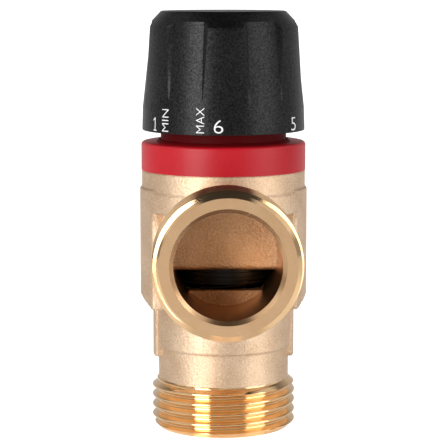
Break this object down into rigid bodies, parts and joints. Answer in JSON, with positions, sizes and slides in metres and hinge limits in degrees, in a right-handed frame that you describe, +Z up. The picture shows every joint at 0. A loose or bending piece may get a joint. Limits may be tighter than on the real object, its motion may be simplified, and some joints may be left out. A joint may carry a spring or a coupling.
{
  "type": "thermostatic mixing valve",
  "caption": "Three-way brass mixing valve with male-threaded ports, a red collar and a fluted black setting knob.",
  "frame": {"origin": "centre of the bottom port's end face", "axes": "+Z up the spindle, side ports along Y, flat pads towards +X and -X; the index mark on the collar is at +X"},
  "size_m": [0.0392, 0.07, 0.0963],
  "materials": {
    "forged_brass": "shot-blasted forging with machined threads and faces",
    "turned_brass": "turned",
    "red_plastic": "satin moulded",
    "black_plastic": "finely textured",
    "shuttle_plastic": "moulded",
    "seal_rubber": "moulded",
    "spring_steel": "drawn",
    "stainless_steel": "turned",
    "copper_cup": "drawn copper",
    "washer_plastic": "plain"
  },
  "bodies": {
    "housing": {"valve_body": "forged_brass", "bonnet": "turned_brass", "bonnet_o_ring": "seal_rubber", "indicator_collar": "red_plastic", "collar_clip": "spring_steel", "thrust_washer": "washer_plastic", "spring_seat": "stainless_steel", "seat_circlip": "spring_steel", "return_spring": "spring_steel"},
    "knob_assembly": {"control_knob": "black_plastic", "knob_cap": "black_plastic", "knob_screw": "stainless_steel", "spindle": "turned_brass", "spindle_o_ring_lower": "seal_rubber", "spindle_o_ring_upper": "seal_rubber", "spindle_circlip": "spring_steel"},
    "nut_assembly": {"pusher_nut": "turned_brass", "plunger_clip": "spring_steel", "overtravel_spring": "spring_steel"},
    "plunger_assembly": {"overtravel_plunger": "stainless_steel", "element_piston": "stainless_steel"},
    "shuttle_assembly": {"shuttle": "shuttle_plastic", "shuttle_o_ring": "seal_rubber", "element_bulb": "copper_cup", "element_guide": "turned_brass", "element_clip": "spring_steel"}
  },
  "joints": [
    {"name": "knob_turn", "type": "hinge", "parent": "housing", "child": "knob_assembly", "pos_m": [0, 0, 0.07], "axis": [0, 0, 1], "range_deg": [-226, 106]},
    {"name": "nut_travel", "type": "slide", "parent": "housing", "child": "nut_assembly", "axis": [0, 0, 1], "range_m": [-0.00128, 0.00061]},
    {"name": "overtravel", "type": "slide", "parent": "nut_assembly", "child": "plunger_assembly", "axis": [0, 0, 1], "range_m": [0, 0.002], "stiffness_N_per_m": 4400, "springref_m": -0.003, "deforming": ["overtravel_spring"]},
    {"name": "shuttle_travel", "type": "slide", "parent": "housing", "child": "shuttle_assembly", "axis": [0, 0, 1], "range_m": [-0.0013, 0], "stiffness_N_per_m": 1730, "springref_m": 0.006, "deforming": ["return_spring"]}
  ],
  "couplings": [
    {"joint": "nut_travel", "follows": "knob_turn", "m_per_rad": 0.00031831}
  ]
}
